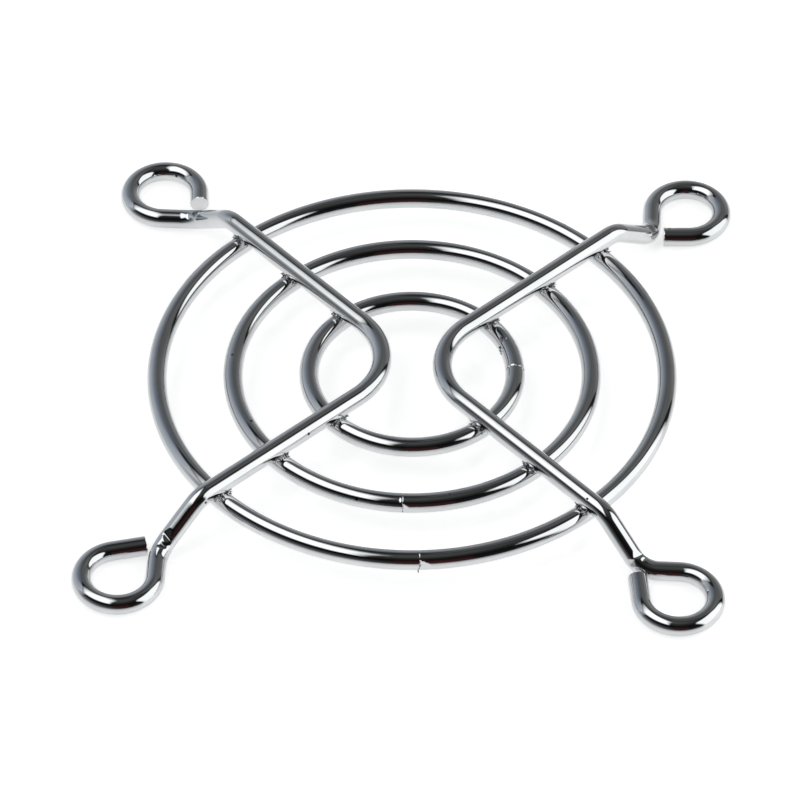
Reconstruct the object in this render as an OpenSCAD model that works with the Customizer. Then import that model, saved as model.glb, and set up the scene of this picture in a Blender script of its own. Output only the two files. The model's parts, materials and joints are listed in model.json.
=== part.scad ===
// Wire fan guard: three wire rings resistance-welded under two bent V ribs, whose ends
// step down to the mounting plane and curl into screw eyes.
// Origin: centre of the four eyes, on the plane that the eyes stand on. +Z points away from the fan.

/* [Wire] */
// Diameter of the drawn steel wire, which is the same in rings and ribs
wire_d = 1.8; // [1.6:0.1:2]
// How much thinner a rib's wire is drawn where it is bent
bend_thinning = 0.01; // [0.005:0.005:0.03]

/* [Screw eyes] */
// Distance between neighbouring screw eyes, as on a 60 mm fan
eye_spacing = 50; // [49:0.5:54]
// Clear hole through an eye
eye_bore_d = 4.8; // [4.4:0.1:5.2]

/* [Rings] */
// Diameter of the inner ring, to the middle of the wire
inner_ring_d = 19; // [18.6:0.1:19.6]
// Step from the outer ring in to the middle one, in radius
ring_pitch = 7; // [6.6:0.1:7]
// Straight rib left between the outer ring's weld collars and the bends of the steps
step_clear = 0.23; // [0.15:0.01:0.5]
// Clear height under the rings
ring_lift = 2.1; // [1.8:0.1:2.6]

/* [Ribs] */
// Radius of the bend at the tip of each V, to the middle of the wire
tip_bend_r = 6.75; // [6:0.25:7.5]
// Steepness of the step that takes a rib down to its eye
step_angle = 36; // [34:1:42]
// Radius of the bend at the top of the step
step_bend_r = 2.5; // [2:0.1:2.8]
// Radius of the knee between the step and the eye
knee_bend_r = 3; // [2.6:0.1:3.4]

/* [Welds] */
// How far the welding press sets a rib down into each ring
weld_set = 0.3; // [0.2:0.05:0.4]
// Diameter of the collar of metal squeezed out round a crossing
collar_d = 2.4; // [2.2:0.05:2.45]
// Thickness of that collar
collar_h = 0.7; // [0.6:0.05:0.8]
// Length of ring taken up by its butt weld
seam_w = 0.25; // [0.2:0.05:0.4]
// How far the fin of a butt weld stands out of the wire
seam_fin = 0.1; // [0.05:0.05:0.15]

/* [Hidden] */

$fn = 64;
plated = "gainsboro";
weld_metal = "silver";

// The four corners in order, and the plan angle of the rib leg that runs to each
corner_names = ["front_left", "front_right", "back_right", "back_left"];
corner_angles = [225, 315, 45, 135];

// Each eye springs open a little after bending: degrees that its loop lacks of three quarters
eye_spring_back = [15, 8, 3, 5];
// Gap left between the cut end of each eye and the wire that comes in to it
eye_gap = [0.3, 0.1, 0.27, 1.3];

// The three rings in order, and where each is butt welded
ring_names = ["inner", "middle", "outer"];
seam_at = [4, 270, 274.5];

// Heights of the middle of the wire
eye_z = wire_d / 2;
ring_z = ring_lift + wire_d / 2;
rib_z = ring_z + wire_d - weld_set;

// Diameter of the wire in a bend, and how far the straight on either side of it runs on into it
bend_d = wire_d - bend_thinning;
lap = 0.02;

// An eye is a loop of this radius, round a centre this far out along the diagonal
eye_r = (eye_bore_d + bend_d) / 2;
eye_u = eye_spacing / sqrt(2);

// The knee stands where the diagonal meets the side of the eye, and the step climbs back from it
knee_u = eye_u - eye_r * sqrt(2);
step_top_u = knee_u - (rib_z - eye_z) / tan(step_angle);
step_l = (rib_z - eye_z) / sin(step_angle);

// At the knee the wire turns level and 45 degrees aside in one bend
aside = 45;
knee_angle = acos(cos(step_angle) * cos(aside));

// Turns of the wire in the bender between the step and the knee, and the knee and the loop
knee_roll = atan2(sin(aside), -sin(step_angle) * cos(aside));
loop_roll = atan2(sin(step_angle), -cos(step_angle) * sin(aside));

// Length that a bend takes from the straight on either side of it
function bend_trim(r, angle) = r * tan(angle / 2);
step_trim = bend_trim(step_bend_r, step_angle);
knee_trim = bend_trim(knee_bend_r, knee_angle);

// Radii of the rings to the middle of the wire: the outer one is welded as near the steps as it goes
outer_ring_r = step_top_u - step_trim - step_clear - collar_d / 2;
ring_r = [inner_ring_d / 2, outer_ring_r - ring_pitch, outer_ring_r];

// Straight tail that follows each loop, cut off just short of the wire that comes in to the eye
function tail_l(corner) =
    eye_r * (1 + sin(eye_spring_back[corner])) / cos(eye_spring_back[corner])
    - wire_d / 2 - eye_gap[corner];

// A rib leg as steps of the wire bender: [straight, bend radius, bend angle, roll before the bend]
function leg_steps(corner) = [
    [step_top_u - step_trim - tip_bend_r, step_bend_r, step_angle, -90],
    [step_l - step_trim - knee_trim, knee_bend_r, knee_angle, knee_roll],
    [eye_r - knee_trim, eye_r, 270 - eye_spring_back[corner], loop_roll],
    [tail_l(corner), 0, 0, 0]
];

// An arc of bent wire round the origin, from plan angle 0 up to a given one
module wire_arc(r, angle) {
    rotate_extrude(angle = angle)
        translate([r, 0])
            circle(d = bend_d);
}

// A straight length of wire from the origin along +X, run on a hair at both ends to take up the bends
module wire_straight(l) {
    translate([-lap, 0, 0])
        rotate([0, 90, 0])
            cylinder(d = wire_d, h = l + 2 * lap);
}

// One wire laid out step by step from the origin along +X, each bend carrying the next step with it
module bent_wire(steps, k = 0) {
    straight = steps[k][0];
    r = steps[k][1];
    angle = steps[k][2];
    wire_straight(straight);
    if (k < len(steps) - 1)
        translate([straight, 0, 0])
            rotate([steps[k][3], 0, 0])
                translate([0, r, 0]) {
                    rotate([0, 0, -90])
                        wire_arc(r, angle);
                    rotate([0, 0, angle])
                        translate([0, -r, 0])
                            bent_wire(steps, k + 1);
                }
}

// The leg of a rib from the end of its tip bend out to the cut end behind its eye
module rib_leg(corner) {
    rotate([0, 0, corner_angles[corner]])
        translate([tip_bend_r, 0, rib_z])
            bent_wire(leg_steps(corner));
}

// The quarter turn at the tip of a V, from the leg of one corner to the leg 90 degrees before it
module rib_tip(corner) {
    rotate([0, 0, corner_angles[corner]])
        translate([tip_bend_r, -tip_bend_r, rib_z])
            rotate([0, 0, 90])
                wire_arc(tip_bend_r, 90);
}

// A whole rib: one V of wire with an eye at each end
module rib(first, second) {
    color(plated) {
        rib_tip(first);
        rib_leg(first);
        rib_leg(second);
    }
}

module rib_left() { rib(0, 3); }
module rib_right() { rib(2, 1); }

// The straight of a rib where it crosses a ring, as the shape that it presses into its neighbours
module rib_at_crossing(i, corner) {
    rotate([0, 0, corner_angles[corner]])
        translate([ring_r[i] - wire_d, 0, rib_z])
            wire_straight(2 * wire_d);
}

// The full circle of a ring's wire
module ring_wire(i) {
    translate([0, 0, ring_z])
        rotate_extrude($fn = 180)
            translate([ring_r[i], 0])
                circle(d = wire_d);
}

// The slice of a ring that its butt weld takes up, standing out of the wire all round as a fin
module seam_slice(i) {
    seam_angle = seam_w / ring_r[i] * 180 / PI;
    translate([0, 0, ring_z])
        rotate([0, 0, seam_at[i] - seam_angle / 2])
            rotate_extrude(angle = seam_angle)
                translate([ring_r[i], 0])
                    circle(d = wire_d + 2 * seam_fin);
}

// One ring: a wire bent round to its butt weld and dented where the four rib legs cross it
module ring(i) {
    color(plated)
        difference() {
            ring_wire(i);
            seam_slice(i);
            for (corner = [0:3])
                rib_at_crossing(i, corner);
        }
}

module ring_inner() { ring(0); }
module ring_middle() { ring(1); }
module ring_outer() { ring(2); }

// The butt weld that closes a ring
module seam_weld(i) {
    color(weld_metal)
        seam_slice(i);
}

module seam_weld_inner() { seam_weld(0); }
module seam_weld_middle() { seam_weld(1); }
module seam_weld_outer() { seam_weld(2); }

// Outline of a weld collar to one side of its axis: a flat disc with a rounded rim
module collar_outline() {
    translate([0, -collar_h / 2])
        square([(collar_d - collar_h) / 2, collar_h]);
    intersection() {
        translate([(collar_d - collar_h) / 2, 0])
            circle(d = collar_h);
        translate([0, -collar_h / 2])
            square([collar_d / 2, collar_h]);
    }
}

// The weld at one crossing: metal squeezed out between ring and rib, shaped by the two wires
module cross_weld(i, corner) {
    color(weld_metal)
        difference() {
            rotate([0, 0, corner_angles[corner]])
                translate([ring_r[i], 0, (ring_z + rib_z) / 2])
                    rotate_extrude()
                        collar_outline();
            ring_wire(i);
            rib_at_crossing(i, corner);
        }
}

ring_inner();
ring_middle();
ring_outer();
rib_left();
rib_right();
seam_weld_inner();
seam_weld_middle();
seam_weld_outer();
for (i = [0:2], corner = [0:3])
    cross_weld(i, corner);
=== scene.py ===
"""Wire fan guard: plated wire with its tool marks, weld flash and cut ends, in a small studio."""

import bmesh
import bpy
import json
import math
import random
from mathutils import Matrix, Vector


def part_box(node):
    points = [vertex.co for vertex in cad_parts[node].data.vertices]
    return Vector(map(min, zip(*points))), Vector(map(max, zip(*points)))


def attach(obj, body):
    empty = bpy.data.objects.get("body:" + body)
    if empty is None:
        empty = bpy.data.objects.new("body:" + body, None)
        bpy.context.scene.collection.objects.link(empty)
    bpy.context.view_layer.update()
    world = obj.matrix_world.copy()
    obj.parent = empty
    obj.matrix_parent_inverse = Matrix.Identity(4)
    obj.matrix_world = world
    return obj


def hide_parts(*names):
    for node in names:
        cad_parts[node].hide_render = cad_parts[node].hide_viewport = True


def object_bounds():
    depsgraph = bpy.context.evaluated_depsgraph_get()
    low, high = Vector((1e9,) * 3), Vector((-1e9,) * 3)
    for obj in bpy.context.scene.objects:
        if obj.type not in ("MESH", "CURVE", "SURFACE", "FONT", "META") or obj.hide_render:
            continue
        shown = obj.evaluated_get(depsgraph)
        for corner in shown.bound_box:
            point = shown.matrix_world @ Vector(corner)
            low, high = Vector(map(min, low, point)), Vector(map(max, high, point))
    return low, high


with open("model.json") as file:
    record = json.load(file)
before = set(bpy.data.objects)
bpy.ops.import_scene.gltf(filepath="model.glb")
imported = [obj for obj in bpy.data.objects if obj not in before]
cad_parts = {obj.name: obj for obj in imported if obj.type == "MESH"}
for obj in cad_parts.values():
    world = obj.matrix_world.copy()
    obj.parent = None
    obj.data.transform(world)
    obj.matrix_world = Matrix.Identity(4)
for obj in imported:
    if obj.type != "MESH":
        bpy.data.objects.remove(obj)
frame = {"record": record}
cad_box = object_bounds()

MM = 0.001

# ---------------------------------------------------------------- sizes, in mm
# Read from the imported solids
ring_low, ring_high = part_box("ring_inner")
WIRE_R = (ring_high.z - ring_low.z) / 2 / MM
RING_Z = (ring_high.z + ring_low.z) / 2 / MM
RING_R = {name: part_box(f"ring_{name}")[1].y / MM - WIRE_R for name in ("inner", "middle", "outer")}
RIB_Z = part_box("rib_left")[1].z / MM - WIRE_R
FIXING = frame["record"]["mounts"][0]["dims"]
EYE_U = FIXING["spacing_x_mm"] / math.sqrt(2)
CORNERS = {"front_left": 225, "front_right": 315, "back_right": 45, "back_left": 135}

# The rib bender's settings, as in the part's source
TIP_R = 6.75
STEP_ANGLE = math.radians(36)
STEP_R = 2.5
KNEE_R = 3.0
EYE_BORE = 4.8
EYE_Z = WIRE_R
SPRING_BACK = {"front_left": 15, "front_right": 8, "back_right": 3, "back_left": 5}
EYE_GAP = {"front_left": 0.3, "front_right": 0.1, "back_right": 0.27, "back_left": 1.3}

EYE_R = EYE_BORE / 2 + WIRE_R
KNEE_U = EYE_U - EYE_R * math.sqrt(2)
STEP_TOP_U = KNEE_U - (RIB_Z - EYE_Z) / math.tan(STEP_ANGLE)
STEP_L = (RIB_Z - EYE_Z) / math.sin(STEP_ANGLE)
ASIDE = math.radians(45)
KNEE_ANGLE = math.acos(math.cos(STEP_ANGLE) * math.cos(ASIDE))
KNEE_ROLL = math.atan2(math.sin(ASIDE), -math.sin(STEP_ANGLE) * math.cos(ASIDE))
LOOP_ROLL = math.atan2(math.sin(STEP_ANGLE), -math.cos(STEP_ANGLE) * math.sin(ASIDE))
STEP_TRIM = STEP_R * math.tan(STEP_ANGLE / 2)
KNEE_TRIM = KNEE_R * math.tan(KNEE_ANGLE / 2)


# ---------------------------------------------------------------- object and node helpers
def new_object(name, data):
    """A new object, linked into the scene."""
    obj = bpy.data.objects.new(name, data)
    bpy.context.scene.collection.objects.link(obj)
    return obj


def new_material(name):
    mat = bpy.data.materials.new(name)
    mat.use_nodes = True
    tree = mat.node_tree
    tree.nodes.clear()
    return mat, tree


def add(tree, kind, **values):
    """A new node, its inputs set by name (spaces as _) and its settings by attribute."""
    node = tree.nodes.new(kind)
    for key, value in values.items():
        socket = key.replace("_", " ")
        if socket in node.inputs:
            node.inputs[socket].default_value = value
        else:
            setattr(node, key, value)
    return node


def link(tree, a, b):
    tree.links.new(a, b)


def maths(tree, operation, a, b=None):
    node = add(tree, "ShaderNodeMath", operation=operation)
    for i, value in enumerate((a, b)):
        if isinstance(value, (int, float)):
            node.inputs[i].default_value = value
        elif value is not None:
            link(tree, value, node.inputs[i])
    return node.outputs[0]


def ramp(tree, factor, stops):
    node = add(tree, "ShaderNodeValToRGB")
    elements = node.color_ramp.elements
    while len(elements) < len(stops):
        elements.new(0.5)
    for element, (at, colour) in zip(elements, stops):
        element.position = at
        element.color = (*colour, 1)
    link(tree, factor, node.inputs["Fac"])
    return node.outputs["Color"]


def noise(tree, coords, scale, detail=3.0, roughness=0.5):
    node = add(tree, "ShaderNodeTexNoise", Scale=scale, Detail=detail, Roughness=roughness)
    link(tree, coords, node.inputs["Vector"])
    return node.outputs["Fac"]


def mix_colour(tree, factor, a, b):
    node = add(tree, "ShaderNodeMix", data_type="RGBA")
    for value, socket in ((factor, "Factor"), (a, "A"), (b, "B")):
        if isinstance(value, tuple):
            node.inputs[socket].default_value = (*value, 1)
        else:
            link(tree, value, node.inputs[socket])
    return node.outputs["Result"]


# ---------------------------------------------------------------- materials
def new_metal(name):
    """A bare metal: its material, its nodes and its shader."""
    mat, tree = new_material(name)
    out = add(tree, "ShaderNodeOutputMaterial")
    shader = add(tree, "ShaderNodeBsdfPrincipled", Metallic=1.0)
    link(tree, shader.outputs[0], out.inputs[0])
    return mat, tree, shader


def roughen(tree, shader, height, strength, distance):
    """Bumps on a shader, each unit of height as high as distance, in metres."""
    bump = add(tree, "ShaderNodeBump", Strength=strength, Distance=distance)
    link(tree, height, bump.inputs["Height"])
    link(tree, bump.outputs[0], shader.inputs["Normal"])


def plated_wire():
    """Bright plating over drawn wire: die lines along it, soft waviness, haze and pin-head pits, each dipped
    into the bump and painted near black as painted shade in its hollow.
    """
    mat, tree, shader = new_metal("plated_wire")
    where = add(tree, "ShaderNodeTexCoord")
    coords = where.outputs["Object"]
    along = add(tree, "ShaderNodeMapping")
    along.inputs["Scale"].default_value = (0.035, 1.0, 1.0)
    link(tree, where.outputs["UV"], along.inputs["Vector"])
    lines = noise(tree, along.outputs[0], 5.5, 4.0, 0.6)

    haze = noise(tree, coords, 260.0, 4.0)
    tint = ramp(tree, haze, [(0.3, (0.62, 0.635, 0.65)), (0.7, (0.70, 0.705, 0.71))])
    pits = add(tree, "ShaderNodeTexVoronoi", Scale=300.0, Randomness=1.0)
    link(tree, coords, pits.inputs["Vector"])
    # Painted shade: each pin-head pit is painted near black for the shade in its hollow, and also dipped in
    # the bump below.
    pit_with_painted_shade = ramp(tree, pits.outputs["Distance"], [(0.03, (1, 1, 1)), (0.05, (0, 0, 0))])
    link(tree, mix_colour(tree, pit_with_painted_shade, tint, (0.03, 0.03, 0.035)), shader.inputs["Base Color"])

    fine = noise(tree, coords, 2600.0, 3.0)
    worn = maths(tree, "ADD", maths(tree, "MULTIPLY", fine, 0.6), maths(tree, "MULTIPLY", lines, 0.5))
    rough = ramp(tree, worn, [(0.35, (0.03,) * 3), (0.75, (0.095,) * 3)])
    link(tree, rough, shader.inputs["Roughness"])

    wave = noise(tree, coords, 330.0, 1.5)
    grain = maths(tree, "MULTIPLY", noise(tree, coords, 3000.0, 2.0), 0.05)
    height = maths(tree, "ADD", wave, maths(tree, "ADD", grain, maths(tree, "MULTIPLY", lines, 0.1)))
    height = maths(tree, "SUBTRACT", height, maths(tree, "MULTIPLY", pit_with_painted_shade, 0.6))
    roughen(tree, shader, height, 0.3, 0.00003)
    return mat


def weld_metal():
    """Plated weld flash: the same plating over a rough, crumbly surface, with painted shade as dark patches
    laid at random.
    """
    mat, tree, shader = new_metal("weld_flash")
    coords = add(tree, "ShaderNodeTexCoord").outputs["Object"]
    painted_shade_patch = noise(tree, coords, 2400.0, 4.0)
    # Painted shade: dark, rougher patches laid at random over the flash, standing in for shade among its
    # crumbs.
    tint = ramp(tree, painted_shade_patch, [(0.38, (0.16, 0.16, 0.17)), (0.56, (0.66, 0.67, 0.68))])
    link(tree, tint, shader.inputs["Base Color"])
    rough = ramp(tree, painted_shade_patch, [(0.3, (0.28,) * 3), (0.65, (0.08,) * 3)])
    link(tree, rough, shader.inputs["Roughness"])
    roughen(tree, shader, noise(tree, coords, 7000.0, 5.0), 0.55, 0.00004)
    return mat


PLATED = plated_wire()
FLASH = weld_metal()


def place_piece(mesh, name, mat, slot, *nodes):
    obj = new_object(name, mesh)
    mesh.materials.clear()
    mesh.materials.append(mat)
    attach(obj, "root")
    if nodes:
        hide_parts(*nodes)
    return obj


# ---------------------------------------------------------------- wire as a swept tube
AROUND = 48
FINE = 0.05  # mm between sections at a mark
PLAIN = 0.22  # mm between sections elsewhere
NEARLY = 0.99  # share of such a distance that counts as all of it
MARK_REACH = 1.3  # mm of fine sections on either side of a mark
SHARP_FROM = math.radians(24)  # edges of marks and cut ends stay sharp
END_RINGS = (0.88, 0.62, 0.34, 0.12)  # radii of the rings across a cut end, as shares of the wire's
RIPPLES = 4  # waves added up across a cut end
RIPPLE_TURN = 4  # radians per mm that such a wave turns by at most, each way across


def corner_axes(corner):
    """The directions out along a rib leg and to its left, both level."""
    turn = math.radians(CORNERS[corner])
    return Vector((math.cos(turn), math.sin(turn), 0)), Vector((-math.sin(turn), math.cos(turn), 0))


class Station:
    """One section of a wire: where its middle is, which way it runs, and how far along it lies."""

    def __init__(self, at, run, s):
        self.at = at
        self.run = run.normalized()
        self.s = s
        self.side = self.run.cross(Vector((0, 0, 1))).normalized()
        self.up = self.side.cross(self.run)

    def outward(self, phi):
        """Direction out of the wire, by angle from its top towards its right-hand side."""
        return self.up * math.cos(phi) + self.side * math.sin(phi)


def thinned(stations, marks):
    """Keep fine sections at the marks and the two ends, and plain ones between."""
    kept = [stations[0]]
    last = stations[-1].s
    for station in stations[1:-1]:
        near = min([abs(station.s - m) for m in marks] + [station.s, last - station.s])
        step = FINE if near < MARK_REACH else PLAIN
        if station.s - kept[-1].s >= step * NEARLY:
            kept.append(station)
    return kept + [stations[-1]]


class Notch:
    """A flat-bottomed V pressed or cut into the wire across its run.

    s, phi: where it lies along and around the wire. depth: how deep. before, after: slopes of
    its two walls. flat: width of its bottom. skew: how much the notch leans along the wire.
    """

    def __init__(self, s, phi, depth, before, after, flat=0.0, skew=0.0):
        self.s, self.phi, self.depth = s, math.radians(phi), depth
        self.before, self.after, self.flat, self.skew = before, after, flat, skew

    def press(self, point, station):
        normal = station.outward(self.phi)
        across = station.outward(self.phi + math.pi / 2)
        rel = point - station.at
        a = station.s - self.s + self.skew * rel.dot(across)
        wall = self.after if a > 0 else self.before
        limit = WIRE_R - self.depth + wall * max(0.0, abs(a) - self.flat / 2)
        over = rel.dot(normal) - limit
        return point - normal * over if over > 0 and abs(a) < MARK_REACH else point


class RibDent:
    """The bed that a rib leg presses into a ring as it is welded."""

    def __init__(self, corner):
        self.out, self.side = corner_axes(corner)

    def press(self, point, station):
        if point.dot(self.out) < 0:
            return point
        rel = self.side * point.dot(self.side) + Vector((0, 0, point.z - RIB_Z))
        return point + rel * (WIRE_R / rel.length - 1) if rel.length < WIRE_R else point


def cut_end(bm, rim_verts, station, roughness, rng):
    """Close a cut end with a sheared face: shallow, uneven ripples inside its rim."""
    waves = [(rng.uniform(-RIPPLE_TURN, RIPPLE_TURN), rng.uniform(-RIPPLE_TURN, RIPPLE_TURN),
              rng.uniform(0, math.tau)) for _ in range(RIPPLES)]
    outer = rim_verts
    for share in END_RINGS:
        inner = []
        for j in range(AROUND):
            flat = station.outward(math.tau * j / AROUND) * WIRE_R * share
            u, v = flat.dot(station.side), flat.dot(station.up)
            ripple = sum(math.sin(a * u + b * v + c) for a, b, c in waves) * roughness / RIPPLES
            inner.append(bm.verts.new((station.at + flat + station.run * ripple) * MM))
        for j in range(AROUND):
            i = (j + 1) % AROUND
            bm.faces.new((outer[j], outer[i], inner[i], inner[j]))
        outer = inner
    bm.faces.new(outer)


def tube_mesh(name, stations, marks, rims, seed):
    """The skin of a wire, in metres, pressed in by its marks, with a ragged rim at each cut end.

    rims: how ragged the rims of the first and last cut ends are, in mm.
    """
    rng = random.Random(seed)
    mesh = bpy.data.meshes.new(name)
    bm = bmesh.new()
    uv = bm.loops.layers.uv.new("wire")
    sections = []
    for k, station in enumerate(stations):
        rim = rims[0] if k == 0 else rims[1] if k == len(stations) - 1 else 0.0
        section = []
        for j in range(AROUND):
            phi = math.tau * j / AROUND
            point = station.at + station.outward(phi) * WIRE_R
            for mark in marks:
                point = mark.press(point, station)
            if rim:
                ragged = station.run * (-1 if k == 0 else 1) * rng.uniform(-rim / 2, rim)
                point += ragged - station.outward(phi) * rng.uniform(0, rim)
            section.append(bm.verts.new(point * MM))
        sections.append(section)
    round_l = math.tau * WIRE_R
    for k in range(len(sections) - 1):
        for j in range(AROUND):
            i = (j + 1) % AROUND
            face = bm.faces.new((sections[k][j], sections[k + 1][j], sections[k + 1][i], sections[k][i]))
            face.smooth = True
            for loop, (m, n) in zip(face.loops, ((k, j), (k + 1, j), (k + 1, j + 1), (k, j + 1))):
                loop[uv].uv = (stations[m].s, n / AROUND * round_l)
    cut_end(bm, sections[0], stations[0], rims[0], rng)
    cut_end(bm, sections[-1], stations[-1], rims[1], rng)
    bmesh.ops.recalc_face_normals(bm, faces=bm.faces)
    bm.to_mesh(mesh)
    bm.free()
    mesh.set_sharp_from_angle(angle=SHARP_FROM)
    return mesh


# ---------------------------------------------------------------- ribs
SHEARED = 0.05  # mm of raggedness round the cut end of an eye


def leg_steps(corner):
    """One leg as steps of the wire bender: straight, bend radius, bend angle, roll before the bend."""
    spring = math.radians(SPRING_BACK[corner])
    tail = EYE_R * (1 + math.sin(spring)) / math.cos(spring) - WIRE_R - EYE_GAP[corner]
    return [
        (STEP_TOP_U - STEP_TRIM - TIP_R, STEP_R, STEP_ANGLE, -math.pi / 2),
        (STEP_L - STEP_TRIM - KNEE_TRIM, KNEE_R, KNEE_ANGLE, KNEE_ROLL),
        (EYE_R - KNEE_TRIM, EYE_R, math.radians(270) - spring, LOOP_ROLL),
        (tail, 0, 0, 0),
    ]


def spread(length):
    """Distances of the fine sections along a length, without its start."""
    count = max(1, round(length / FINE))
    return [length * k / count for k in range(1, count + 1)]


def bend(at, run, left, radius, angle):
    """Points and directions round a bend to the left, without its start."""
    centre = at + left * radius
    turns = [d / radius for d in spread(radius * angle)]
    return [(centre + (run * math.sin(a) - left * math.cos(a)) * radius,
             run * math.cos(a) + left * math.sin(a)) for a in turns]


def leg_path(corner):
    """Points and directions from the end of the tip bend out to the cut end, and how far along
    the knee starts."""
    run, left = corner_axes(corner)
    at = run * TIP_R + Vector((0, 0, RIB_Z))
    path = [(at.copy(), run.copy())]
    gone, knee = 0.0, 0.0
    for k, (straight, radius, angle, roll) in enumerate(leg_steps(corner)):
        path += [(at + run * d, run.copy()) for d in spread(straight)]
        at = at + run * straight
        if k == 1:
            knee = gone + straight
        gone += straight + radius * angle
        if not radius:
            break
        left = Matrix.Rotation(roll, 3, run) @ left
        path += bend(at, run, left, radius, angle)
        at = path[-1][0].copy()
        run, left = path[-1][1].copy(), left * math.cos(angle) - run * math.sin(angle)
    return path, knee


def rib_path(first, second):
    """A whole rib from the cut end of its first leg, round the tip, to the cut end of the second,
    and how far along its two knees start."""
    leg_a, knee_a = leg_path(first)
    leg_b, knee_b = leg_path(second)
    points = [(at, -run) for at, run in reversed(leg_a)]
    run = -corner_axes(first)[0]
    aside = leg_b[0][1] - run.dot(leg_b[0][1]) * run
    points += bend(leg_a[0][0], run, aside, TIP_R, math.pi / 2)
    points += leg_b[1:]
    stations, s = [], 0.0
    for k, (at, run) in enumerate(points):
        s += (at - points[k - 1][0]).length if k else 0.0
        stations.append(Station(at, run, s))
    half = stations[len(leg_a) - 1].s
    knees = (half - knee_a, stations[-len(leg_b)].s + knee_b)
    return stations, knees


def build_rib(name, first, second, marks_at, seed):
    """A rib, its tool marks given by how far they lie beyond the start of each knee."""
    stations, knees = rib_path(first, second)
    marks = [Notch(knees[leg] + (-beyond if leg == 0 else beyond), *shape)
             for leg, beyond, shape in marks_at]
    stations = thinned(stations, [m.s for m in marks])
    mesh = tube_mesh(name, stations, marks, (SHEARED, SHEARED), seed)
    place_piece(mesh, name, PLATED, "wire", name.replace("wire_", ""))


# The bender's jaw marks: which leg, mm beyond the start of its knee, and the notch's
# (angle round the wire, depth, walls before and after, flat, skew)
build_rib("wire_rib_left", "front_left", "back_left", [
    (0, -0.1, (18, 0.16, 0.30, 0.22, 0.14, 0.25)),
    (0, 1.25, (13, 0.12, 0.5, 0.17, 0.0, -0.1)),
    (0, -0.66, (30, 0.02, 0.5, 0.33, 0.0, 0.0)),
    (1, 0.55, (-5, 0.2, 0.5, 0.3, 0.0, 0.2)),
    (1, 1.7, (-35, 0.06, 0.2, 0.2, 0.0, -0.4)),
], 3)
build_rib("wire_rib_right", "back_right", "front_right", [
    (0, 0.6, (-18, 0.18, 0.25, 0.5, 0.0, 0.2)),
    (0, 1.5, (-35, 0.06, 0.2, 0.3, 0.1, -0.4)),
    (1, 0.35, (3, 0.14, 0.21, 0.40, 0.0, 0.3)),
    (1, 1.12, (-8, 0.07, 0.17, 0.5, 0.0, 0.3)),
    (1, 0.45, (66, 0.10, 0.3, 0.3, 0.1, -0.2)),
], 4)

# ---------------------------------------------------------------- rings
SEAM_AT = {"inner": 4, "middle": 270, "outer": 274.5}
SEAM_GAP = 0.03  # mm between the two ends of a ring
SQUARE_CUT = 0.012  # mm of raggedness round an end of a ring
FAR_END = -0.0001  # a mark at the far end of a ring, measured back from there


def build_ring(ring, cuts, seed):
    """A ring from one side of its butt weld round to the other, dented under the ribs."""
    radius = RING_R[ring]
    length = math.tau * radius - SEAM_GAP
    stations = []
    for s in [0.0] + spread(length):
        a = math.radians(SEAM_AT[ring]) + (s + SEAM_GAP / 2) / radius
        at = Vector((radius * math.cos(a), radius * math.sin(a), RING_Z))
        stations.append(Station(at, Vector((-math.sin(a), math.cos(a), 0)), s))
    marks = [Notch(s if s >= 0 else length + s, *shape) for s, shape in cuts]
    crossings = [((math.radians(c - SEAM_AT[ring]) % math.tau) * radius) for c in CORNERS.values()]
    stations = thinned(stations, crossings)
    marks += [RibDent(corner) for corner in CORNERS]
    mesh = tube_mesh(f"wire_ring_{ring}", stations, marks, (SQUARE_CUT, SQUARE_CUT), seed)
    place_piece(mesh, f"wire_ring_{ring}", PLATED, "wire", f"ring_{ring}")


# Trimmed edges at each butt weld: mm along from it, or back from it if less than 0, and the notch's
# (angle round the wire, depth, walls before and after, flat, skew)
build_ring("outer", [
    (0.0, (90, 0.27, 0.26, 0.26, 0.0, 0.0)),
    (0.0, (-72, 0.07, 0.6, 0.8, 0.0, 0.0)),
    (-0.17, (33, 0.020, 0.5, 0.14, 0.0, 0.0)),
], 5)
build_ring("middle", [
    (0.0, (88, 0.21, 0.34, 0.34, 0.0, 0.0)),
    (0.0, (-75, 0.06, 0.8, 0.8, 0.0, 0.0)),
    (-0.25, (30, 0.036, 0.5, 0.15, 0.0, 0.0)),
], 6)
build_ring("inner", [
    (0.0, (-20, 0.09, 0.5, 0.5, 0.0, 0.0)),
    (0.0, (45, 0.10, 0.3, 0.3, 0.0, 0.0)),
    (FAR_END, (60, 0.08, 0.4, 0.4, 0.0, 0.0)),
    (FAR_END, (-50, 0.06, 0.5, 0.5, 0.0, 0.0)),
], 7)

# ---------------------------------------------------------------- weld flash
FLASH_VOXEL = 0.045  # mm
SPATTER_VOXEL = 0.03
CRUMBS = 90  # lumps in the collar round a crossing
CRUMB_R = (0.07, 0.2)  # mm
CRUMB_STRETCH = (0.9, 1.9)
COLLAR_REACH = (0.62, 1.16)  # mm from the middle of a crossing out to its crumbs
COLLAR_THICK = 0.15  # mm that the crumbs stray up or down, as a standard deviation
WHISKERS = 9  # drawn-out lumps round a crossing
WHISKER_R = 0.06
WHISKER_STRETCH = (3.0, 6.0)
WHISKER_REACH = (1.0, 1.25)  # mm from the middle of a crossing out to its whiskers
WEB_LUMPS = 26  # lumps in the web of a butt weld
WEB_LUMP_R = 0.12
SPATTER_BEADS = 6
SPATTER_R = (0.10, 0.20)
SMOOTH = 3  # subdivisions from which a lump is a smooth bead


def crumb(bm, at, size, rng, along=None, stretch=1.0, subdivisions=1):
    """One lump of metal, in mm, drawn out along a direction: jagged, or a bead from SMOOTH up."""
    made = bmesh.ops.create_icosphere(bm, subdivisions=subdivisions, radius=1.0)["verts"]
    turn = Vector((0, 0, 1)).rotation_difference(along.normalized()).to_matrix() if along else None
    for v in made:
        v.co *= rng.uniform(0.65, 1.3) if subdivisions < SMOOTH else 1.0
        v.co.z *= stretch
        if turn:
            v.co = turn @ v.co
        v.co = v.co * size + at


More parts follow.
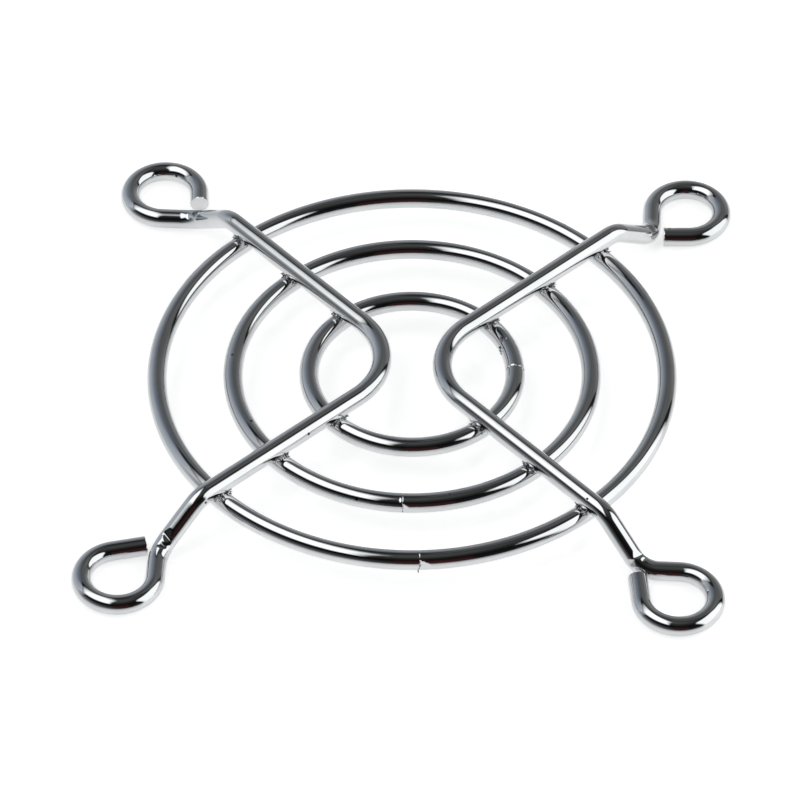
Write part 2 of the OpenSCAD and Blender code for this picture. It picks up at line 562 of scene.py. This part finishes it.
def fused_mesh(bm, name, voxel):
    """The lumps of bm, in mm, fused into one closed mesh in metres."""
    lump_mesh = bpy.data.meshes.new(name + "_lumps")
    bm.to_mesh(lump_mesh)
    bm.free()
    lumps = new_object(name + "_lumps", lump_mesh)
    fuse = lumps.modifiers.new("fuse", "REMESH")
    fuse.mode = "VOXEL"
    fuse.voxel_size = voxel
    graph = bpy.context.evaluated_depsgraph_get()
    mesh = bpy.data.meshes.new_from_object(lumps.evaluated_get(graph))
    mesh.transform(Matrix.Scale(MM, 4))
    mesh.name = name
    bpy.data.objects.remove(lumps)
    bpy.data.meshes.remove(lump_mesh)
    return mesh


def any_way(rng, out, side):
    """A random direction in the plane of two others."""
    angle = rng.uniform(0, math.tau)
    return out * math.cos(angle) + side * math.sin(angle)


def cross_flash(ring, corner, seed):
    """Metal squeezed out of one crossing: a broken collar of crumbs with a few drawn-out whiskers."""
    rng = random.Random(seed)
    out, side = corner_axes(corner)
    centre = out * RING_R[ring] + Vector((0, 0, (RING_Z + RIB_Z) / 2))
    bm = bmesh.new()
    for _ in range(CRUMBS):
        away = any_way(rng, out, side)
        reach = rng.uniform(*COLLAR_REACH)
        at = centre + away * reach + Vector((0, 0, rng.gauss(0, COLLAR_THICK)))
        size = rng.uniform(*CRUMB_R) * (1.25 - 0.4 * reach)  # smaller further out
        lean = away + Vector((0, 0, rng.uniform(-0.6, 0.6)))
        crumb(bm, at, size, rng, lean, rng.uniform(*CRUMB_STRETCH))
    for _ in range(WHISKERS):
        away = any_way(rng, out, side)
        lean = away + Vector((0, 0, rng.uniform(-0.3, 0.9)))
        at = centre + away * rng.uniform(*WHISKER_REACH)
        crumb(bm, at, WHISKER_R, rng, lean, rng.uniform(*WHISKER_STRETCH))
    name = f"flash_{ring}_{corner}"
    place_piece(fused_mesh(bm, name, FLASH_VOXEL), name, FLASH, "weld", f"cross_weld_{ring}_{corner}")


def ring_station(ring, at_angle):
    """The section of a ring at a plan angle, in degrees."""
    a = math.radians(at_angle)
    at = Vector((math.cos(a), math.sin(a), 0)) * RING_R[ring] + Vector((0, 0, RING_Z))
    return Station(at, Vector((-math.sin(a), math.cos(a), 0)), 0.0)


def seam_bead(ring, lumps, seed):
    """The thin web of a butt weld, with the beads and spurs that stand out of it."""
    rng = random.Random(seed)
    station = ring_station(ring, SEAM_AT[ring])
    bm = bmesh.new()
    for _ in range(WEB_LUMPS):
        phi = rng.uniform(0, math.tau)
        at = station.at + station.outward(phi) * (WIRE_R * math.sqrt(rng.uniform(0, 0.7)))
        crumb(bm, at, WEB_LUMP_R, rng)
    for along, phi, lift, size, stretch in lumps:
        outward = station.outward(math.radians(phi))
        at = station.at + outward * (WIRE_R + lift) + station.run * along
        crumb(bm, at, size, rng, outward, stretch, SMOOTH)
    for face in bm.faces:
        face.smooth = True
    mesh = bpy.data.meshes.new(f"bead_{ring}")
    bm.to_mesh(mesh)
    bm.free()
    mesh.transform(Matrix.Scale(MM, 4))
    place_piece(mesh, f"bead_{ring}", PLATED, "weld", f"seam_weld_{ring}")


def spatter(name, ring, at_angle, phi, seed):
    """A few beads thrown onto a ring by the welder, round a plan angle and an angle round the wire."""
    rng = random.Random(seed)
    station = ring_station(ring, at_angle)
    bm = bmesh.new()
    for _ in range(SPATTER_BEADS):
        outward = station.outward(math.radians(phi + rng.uniform(-20, 20)))
        at = station.at + outward * (WIRE_R + 0.01) + station.run * rng.uniform(-0.3, 0.3)
        crumb(bm, at, rng.uniform(*SPATTER_R), rng, outward, 0.8)
    place_piece(fused_mesh(bm, name, SPATTER_VOXEL), name, FLASH, "weld")


for i, ring in enumerate(RING_R):
    for k, corner in enumerate(CORNERS):
        cross_flash(ring, corner, 10 * i + k + 1)

# Beads: mm along from the weld, angle round the wire, lift above it, radius, stretch
seam_bead("outer", [(-0.10, 138, 0.08, 0.08, 2.6),
                    (-0.03, 104, -0.02, 0.07, 2.0)], 41)
seam_bead("middle", [(0, 118, -0.06, 0.06, 1.2)], 42)
seam_bead("inner", [(0.03, 0, -0.06, 0.14, 1.0), (0.05, 48, -0.09, 0.20, 1.0),
                    (0.02, -30, -0.05, 0.11, 1.2), (-0.02, -52, -0.04, 0.09, 1.6)], 43)
spatter("spatter_inner", "inner", 25.5, -24, 51)
# Painted shade: a few dark flash crumbs low on the inner ring, standing in for the shade of two small pits
# there rather than for spatter.
spatter("pit_shade_crumbs_inner", "inner", 21.5, -66, 52)


# ---------------------------------------------------------------- studio
def direction(azimuth, elevation):
    """Unit vector by azimuth from the front (-Y) towards +X, and elevation, in degrees."""
    a, e = math.radians(azimuth), math.radians(elevation)
    return Vector((math.sin(a) * math.cos(e), -math.cos(a) * math.cos(e), math.sin(e)))


def glowing(name, verts, faces, glow, lights_scene):
    """A glowing panel that the camera doesn't see, its colour given at each vertex."""
    mesh = bpy.data.meshes.new(name)
    mesh.from_pydata(verts, [], faces)
    shade = mesh.color_attributes.new("glow", "FLOAT_COLOR", "POINT")
    for item, colour in zip(shade.data, glow):
        item.color = (*colour, 1)
    obj = new_object(name, mesh)
    mat, tree = new_material(name)
    out = add(tree, "ShaderNodeOutputMaterial")
    light = add(tree, "ShaderNodeEmission", Strength=1.0)
    link(tree, add(tree, "ShaderNodeVertexColor", layer_name="glow").outputs["Color"], light.inputs["Color"])
    link(tree, light.outputs[0], out.inputs[0])
    mesh.materials.append(mat)
    obj.visible_camera = False
    obj.visible_shadow = False
    obj.visible_diffuse = lights_scene


PANEL_FAR = 1.2  # m from the guard to a softbox
WALL_FAR = PANEL_FAR * 1.3
WALL_STEPS = 12


def softbox(name, azimuth, elevation, outline, colour, feather):
    """A softbox round a direction, its outline in tangents to the right and up as seen from the guard.

    feather: the share of the way from its rim to its middle over which its glow fades.
    """
    centre = direction(azimuth, elevation)
    right = centre.cross(Vector((0, 0, 1))).normalized()
    up = right.cross(centre)
    middle_u = sum(u for u, _ in outline) / len(outline)
    middle_v = sum(v for _, v in outline) / len(outline)
    verts, glow, count = [], [], len(outline)
    fade = ((0.0, 1.0), (1 - feather, 0.96), (1 - feather * 0.5, 0.6), (1.0, 0.05))
    for share, level in fade:  # how far out to the rim, and how bright there
        for u, v in outline if share else [(middle_u, middle_v)]:
            u, v = middle_u + (u - middle_u) * share, middle_v + (v - middle_v) * share
            verts.append((centre + right * u + up * v) * PANEL_FAR)
            glow.append([c * level for c in colour])
    faces = [(0, 1 + k, 1 + (k + 1) % count) for k in range(count)]
    for loop in range(len(fade) - 2):
        a, b = 1 + loop * count, 1 + (loop + 1) * count
        faces += [(a + k, b + k, b + (k + 1) % count, a + (k + 1) % count) for k in range(count)]
    glowing(name, verts, faces, glow, True)


def room_wall(name, azimuths, elevations, left, right):
    """A curved stretch of dim wall that only the plating sees, its colours by elevation at both ends."""
    verts, faces, glow = [], [], []
    rows = len(elevations)
    for k in range(WALL_STEPS + 1):
        share = k / WALL_STEPS
        azimuth = azimuths[0] + (azimuths[1] - azimuths[0]) * share
        for elevation, a, b in zip(elevations, left, right):
            verts.append(direction(azimuth, elevation) * WALL_FAR)
            glow.append([p + (q - p) * share for p, q in zip(a, b)])
    for k in range(WALL_STEPS):
        for j in range(rows - 1):
            a, b = rows * k + j, rows * (k + 1) + j
            faces.append((a, b, b + 1, a + 1))
    glowing(name, verts, faces, glow, False)


def grey(*levels):
    """Neutral colours of the levels given."""
    return [(level,) * 3 for level in levels]


softbox("softbox_left", -85, 62, [(-0.82, 0.14), (-0.06, 0.46), (0.80, 0.42), (0.08, -0.60)],
        (1.66, 1.69, 1.70), 0.42)
softbox("softbox_right", 88, 25,
        [(0.68, -0.90), (0.62, 0.46), (0.40, 0.68), (-0.34, 0.62), (-0.54, 0.26), (-0.74, -0.90)],
        (1.45, 1.47, 1.46), 0.2)
# Where the left wall meets the back one
BACK_LEFT_BLUE = [(0.54, 0.57, 0.61), (0.39, 0.43, 0.49), (0.24, 0.27, 0.32), (0.15, 0.17, 0.21)]
room_wall("wall_back_left", (-179, -134), (-3, 18, 35, 50),
          [(0.40, 0.40, 0.40), (0.38, 0.39, 0.39), (0.20, 0.21, 0.22), (0.08, 0.09, 0.10)], BACK_LEFT_BLUE)
room_wall("wall_left", (-134, -97), (-3, 18, 35, 50), BACK_LEFT_BLUE,
          [(0.62, 0.66, 0.71), (0.52, 0.56, 0.61), (0.52, 0.56, 0.60), (0.85, 0.88, 0.90)])
room_wall("wall_left_edge", (-97, -80), (-3, 12, 35, 50),
          [(0.66, 0.70, 0.75), (0.55, 0.59, 0.63), (0.85, 0.87, 0.89), (1.1, 1.1, 1.1)],
          [(0.45, 0.47, 0.49), (0.22, 0.23, 0.24), (0.25, 0.25, 0.25), (0.4, 0.4, 0.4)])
room_wall("wall_front_left", (-80, -4), (-3, 6, 15, 28),
          [(0.30, 0.32, 0.34), (0.22, 0.24, 0.25), (0.10, 0.11, 0.12), (0.02, 0.02, 0.023)],
          [(0.07, 0.07, 0.07), (0.045, 0.045, 0.045), (0.03, 0.03, 0.03), (0.016, 0.012, 0.012)])
room_wall("maroon_curtain", (-4, 26), (-3, 10, 25, 40),
          [(0.06, 0.035, 0.035), (0.05, 0.02, 0.02), (0.042, 0.014, 0.014), (0.012, 0.006, 0.006)],
          [(0.05, 0.025, 0.025), (0.05, 0.018, 0.018), (0.04, 0.013, 0.013), (0.012, 0.006, 0.006)])
room_wall("wall_back_right", (127, 181), (-3, 18, 35, 50, 68),
          grey(0.22, 0.16, 0.12, 0.18, 0.09),
          [(0.38, 0.39, 0.39), (0.33, 0.34, 0.35), (0.14,) * 3, (0.10,) * 3, (0.09,) * 3])


TABLE_HALF = 3.0  # m
TABLE_SEEN = 0.60  # glow that the camera sees
TABLE_MIRRORED = 0.53  # glow that the plating mirrors, looking straight down


def studio_floor():
    """White glossy table: a glow that camera and plating see, under a clear coat."""
    corners = [(TABLE_HALF * x, TABLE_HALF * y, 0) for x, y in ((-1, -1), (1, -1), (1, 1), (-1, 1))]
    mesh = bpy.data.meshes.new("floor")
    mesh.from_pydata(corners, [], [(0, 1, 2, 3)])
    obj = new_object("floor", mesh)
    obj.location.z = cad_box[0][2]
    mat, tree = new_material("floor")
    out = add(tree, "ShaderNodeOutputMaterial")
    shader = add(tree, "ShaderNodeBsdfPrincipled", Base_Color=(0.82, 0.82, 0.82, 1), Roughness=1.0,
                 Specular_IOR_Level=0.0, Coat_Weight=1.0, Coat_Roughness=0.12, Coat_IOR=1.6,
                 Emission_Color=(1, 1, 1, 1))
    path = add(tree, "ShaderNodeLightPath")
    seen = maths(tree, "MULTIPLY", path.outputs["Is Camera Ray"], TABLE_SEEN)
    coat = add(tree, "ShaderNodeLayerWeight", Blend=0.4).outputs["Fresnel"]
    under_coat = maths(tree, "SUBTRACT", 1.0, coat)
    mirrored = maths(tree, "MULTIPLY", under_coat, TABLE_MIRRORED)
    mirrored = maths(tree, "MULTIPLY", path.outputs["Is Glossy Ray"], mirrored)
    link(tree, maths(tree, "ADD", seen, mirrored), shader.inputs["Emission Strength"])
    link(tree, shader.outputs[0], out.inputs[0])
    mesh.materials.append(mat)


studio_floor()


def either(tree, factor, a, b):
    """Shader b where the factor is 1, and a where it is 0."""
    node = add(tree, "ShaderNodeMixShader")
    for value, socket in zip((factor, a, b), node.inputs):
        link(tree, value, socket)
    return node.outputs[0]


def dark_room():
    """World: a dim room for the plating, white for the camera, and soft fill on all that is matt."""
    world = bpy.data.worlds.new("room")
    bpy.context.scene.world = world
    world.use_nodes = True
    tree = world.node_tree
    tree.nodes.clear()
    out = add(tree, "ShaderNodeOutputWorld")
    split = add(tree, "ShaderNodeSeparateXYZ")
    link(tree, add(tree, "ShaderNodeTexCoord").outputs["Generated"], split.inputs[0])
    room = add(tree, "ShaderNodeBackground")
    shade = ramp(tree, split.outputs["Z"], [(0.0, (0.02,) * 3), (0.45, (0.007,) * 3), (0.7, (0.006,) * 3),
                                            (0.9, (0.03,) * 3), (1.0, (0.075,) * 3)])
    link(tree, shade, room.inputs["Color"])
    path = add(tree, "ShaderNodeLightPath")
    fill = add(tree, "ShaderNodeBackground", Color=(1, 1, 1, 1), Strength=0.5)
    white = add(tree, "ShaderNodeBackground", Color=(1, 1, 1, 1), Strength=1.0)
    unseen = either(tree, path.outputs["Is Diffuse Ray"], room.outputs[0], fill.outputs[0])
    link(tree, either(tree, path.outputs["Is Camera Ray"], unseen, white.outputs[0]), out.inputs[0])


dark_room()

# ---------------------------------------------------------------- camera
VIEW_AZIMUTH = 3.09  # degrees from the front towards +X
VIEW_ELEVATION = 45.387
VIEW_ROLL = -0.087
VIEW_DISTANCE = 0.49128
VIEW_TARGET = Vector((-0.00092, -0.00352, 0.003))
LENS = 241.05  # mm on a 36 mm sensor


def add_camera():
    data = bpy.data.cameras.new("camera")
    data.lens = LENS
    data.sensor_width = 36
    data.clip_start = 0.01
    data.clip_end = 10
    camera = new_object("camera", data)
    back = direction(VIEW_AZIMUTH, VIEW_ELEVATION)
    right = Vector((0, 0, 1)).cross(back).normalized()
    up = back.cross(right)
    turn = Matrix((right, up, back)).transposed() @ Matrix.Rotation(math.radians(VIEW_ROLL), 3, "Z")
    camera.matrix_world = Matrix.Translation(VIEW_TARGET + back * VIEW_DISTANCE) @ turn.to_4x4()
    bpy.context.scene.camera = camera


add_camera()
bpy.context.scene.view_settings.view_transform = "Standard"
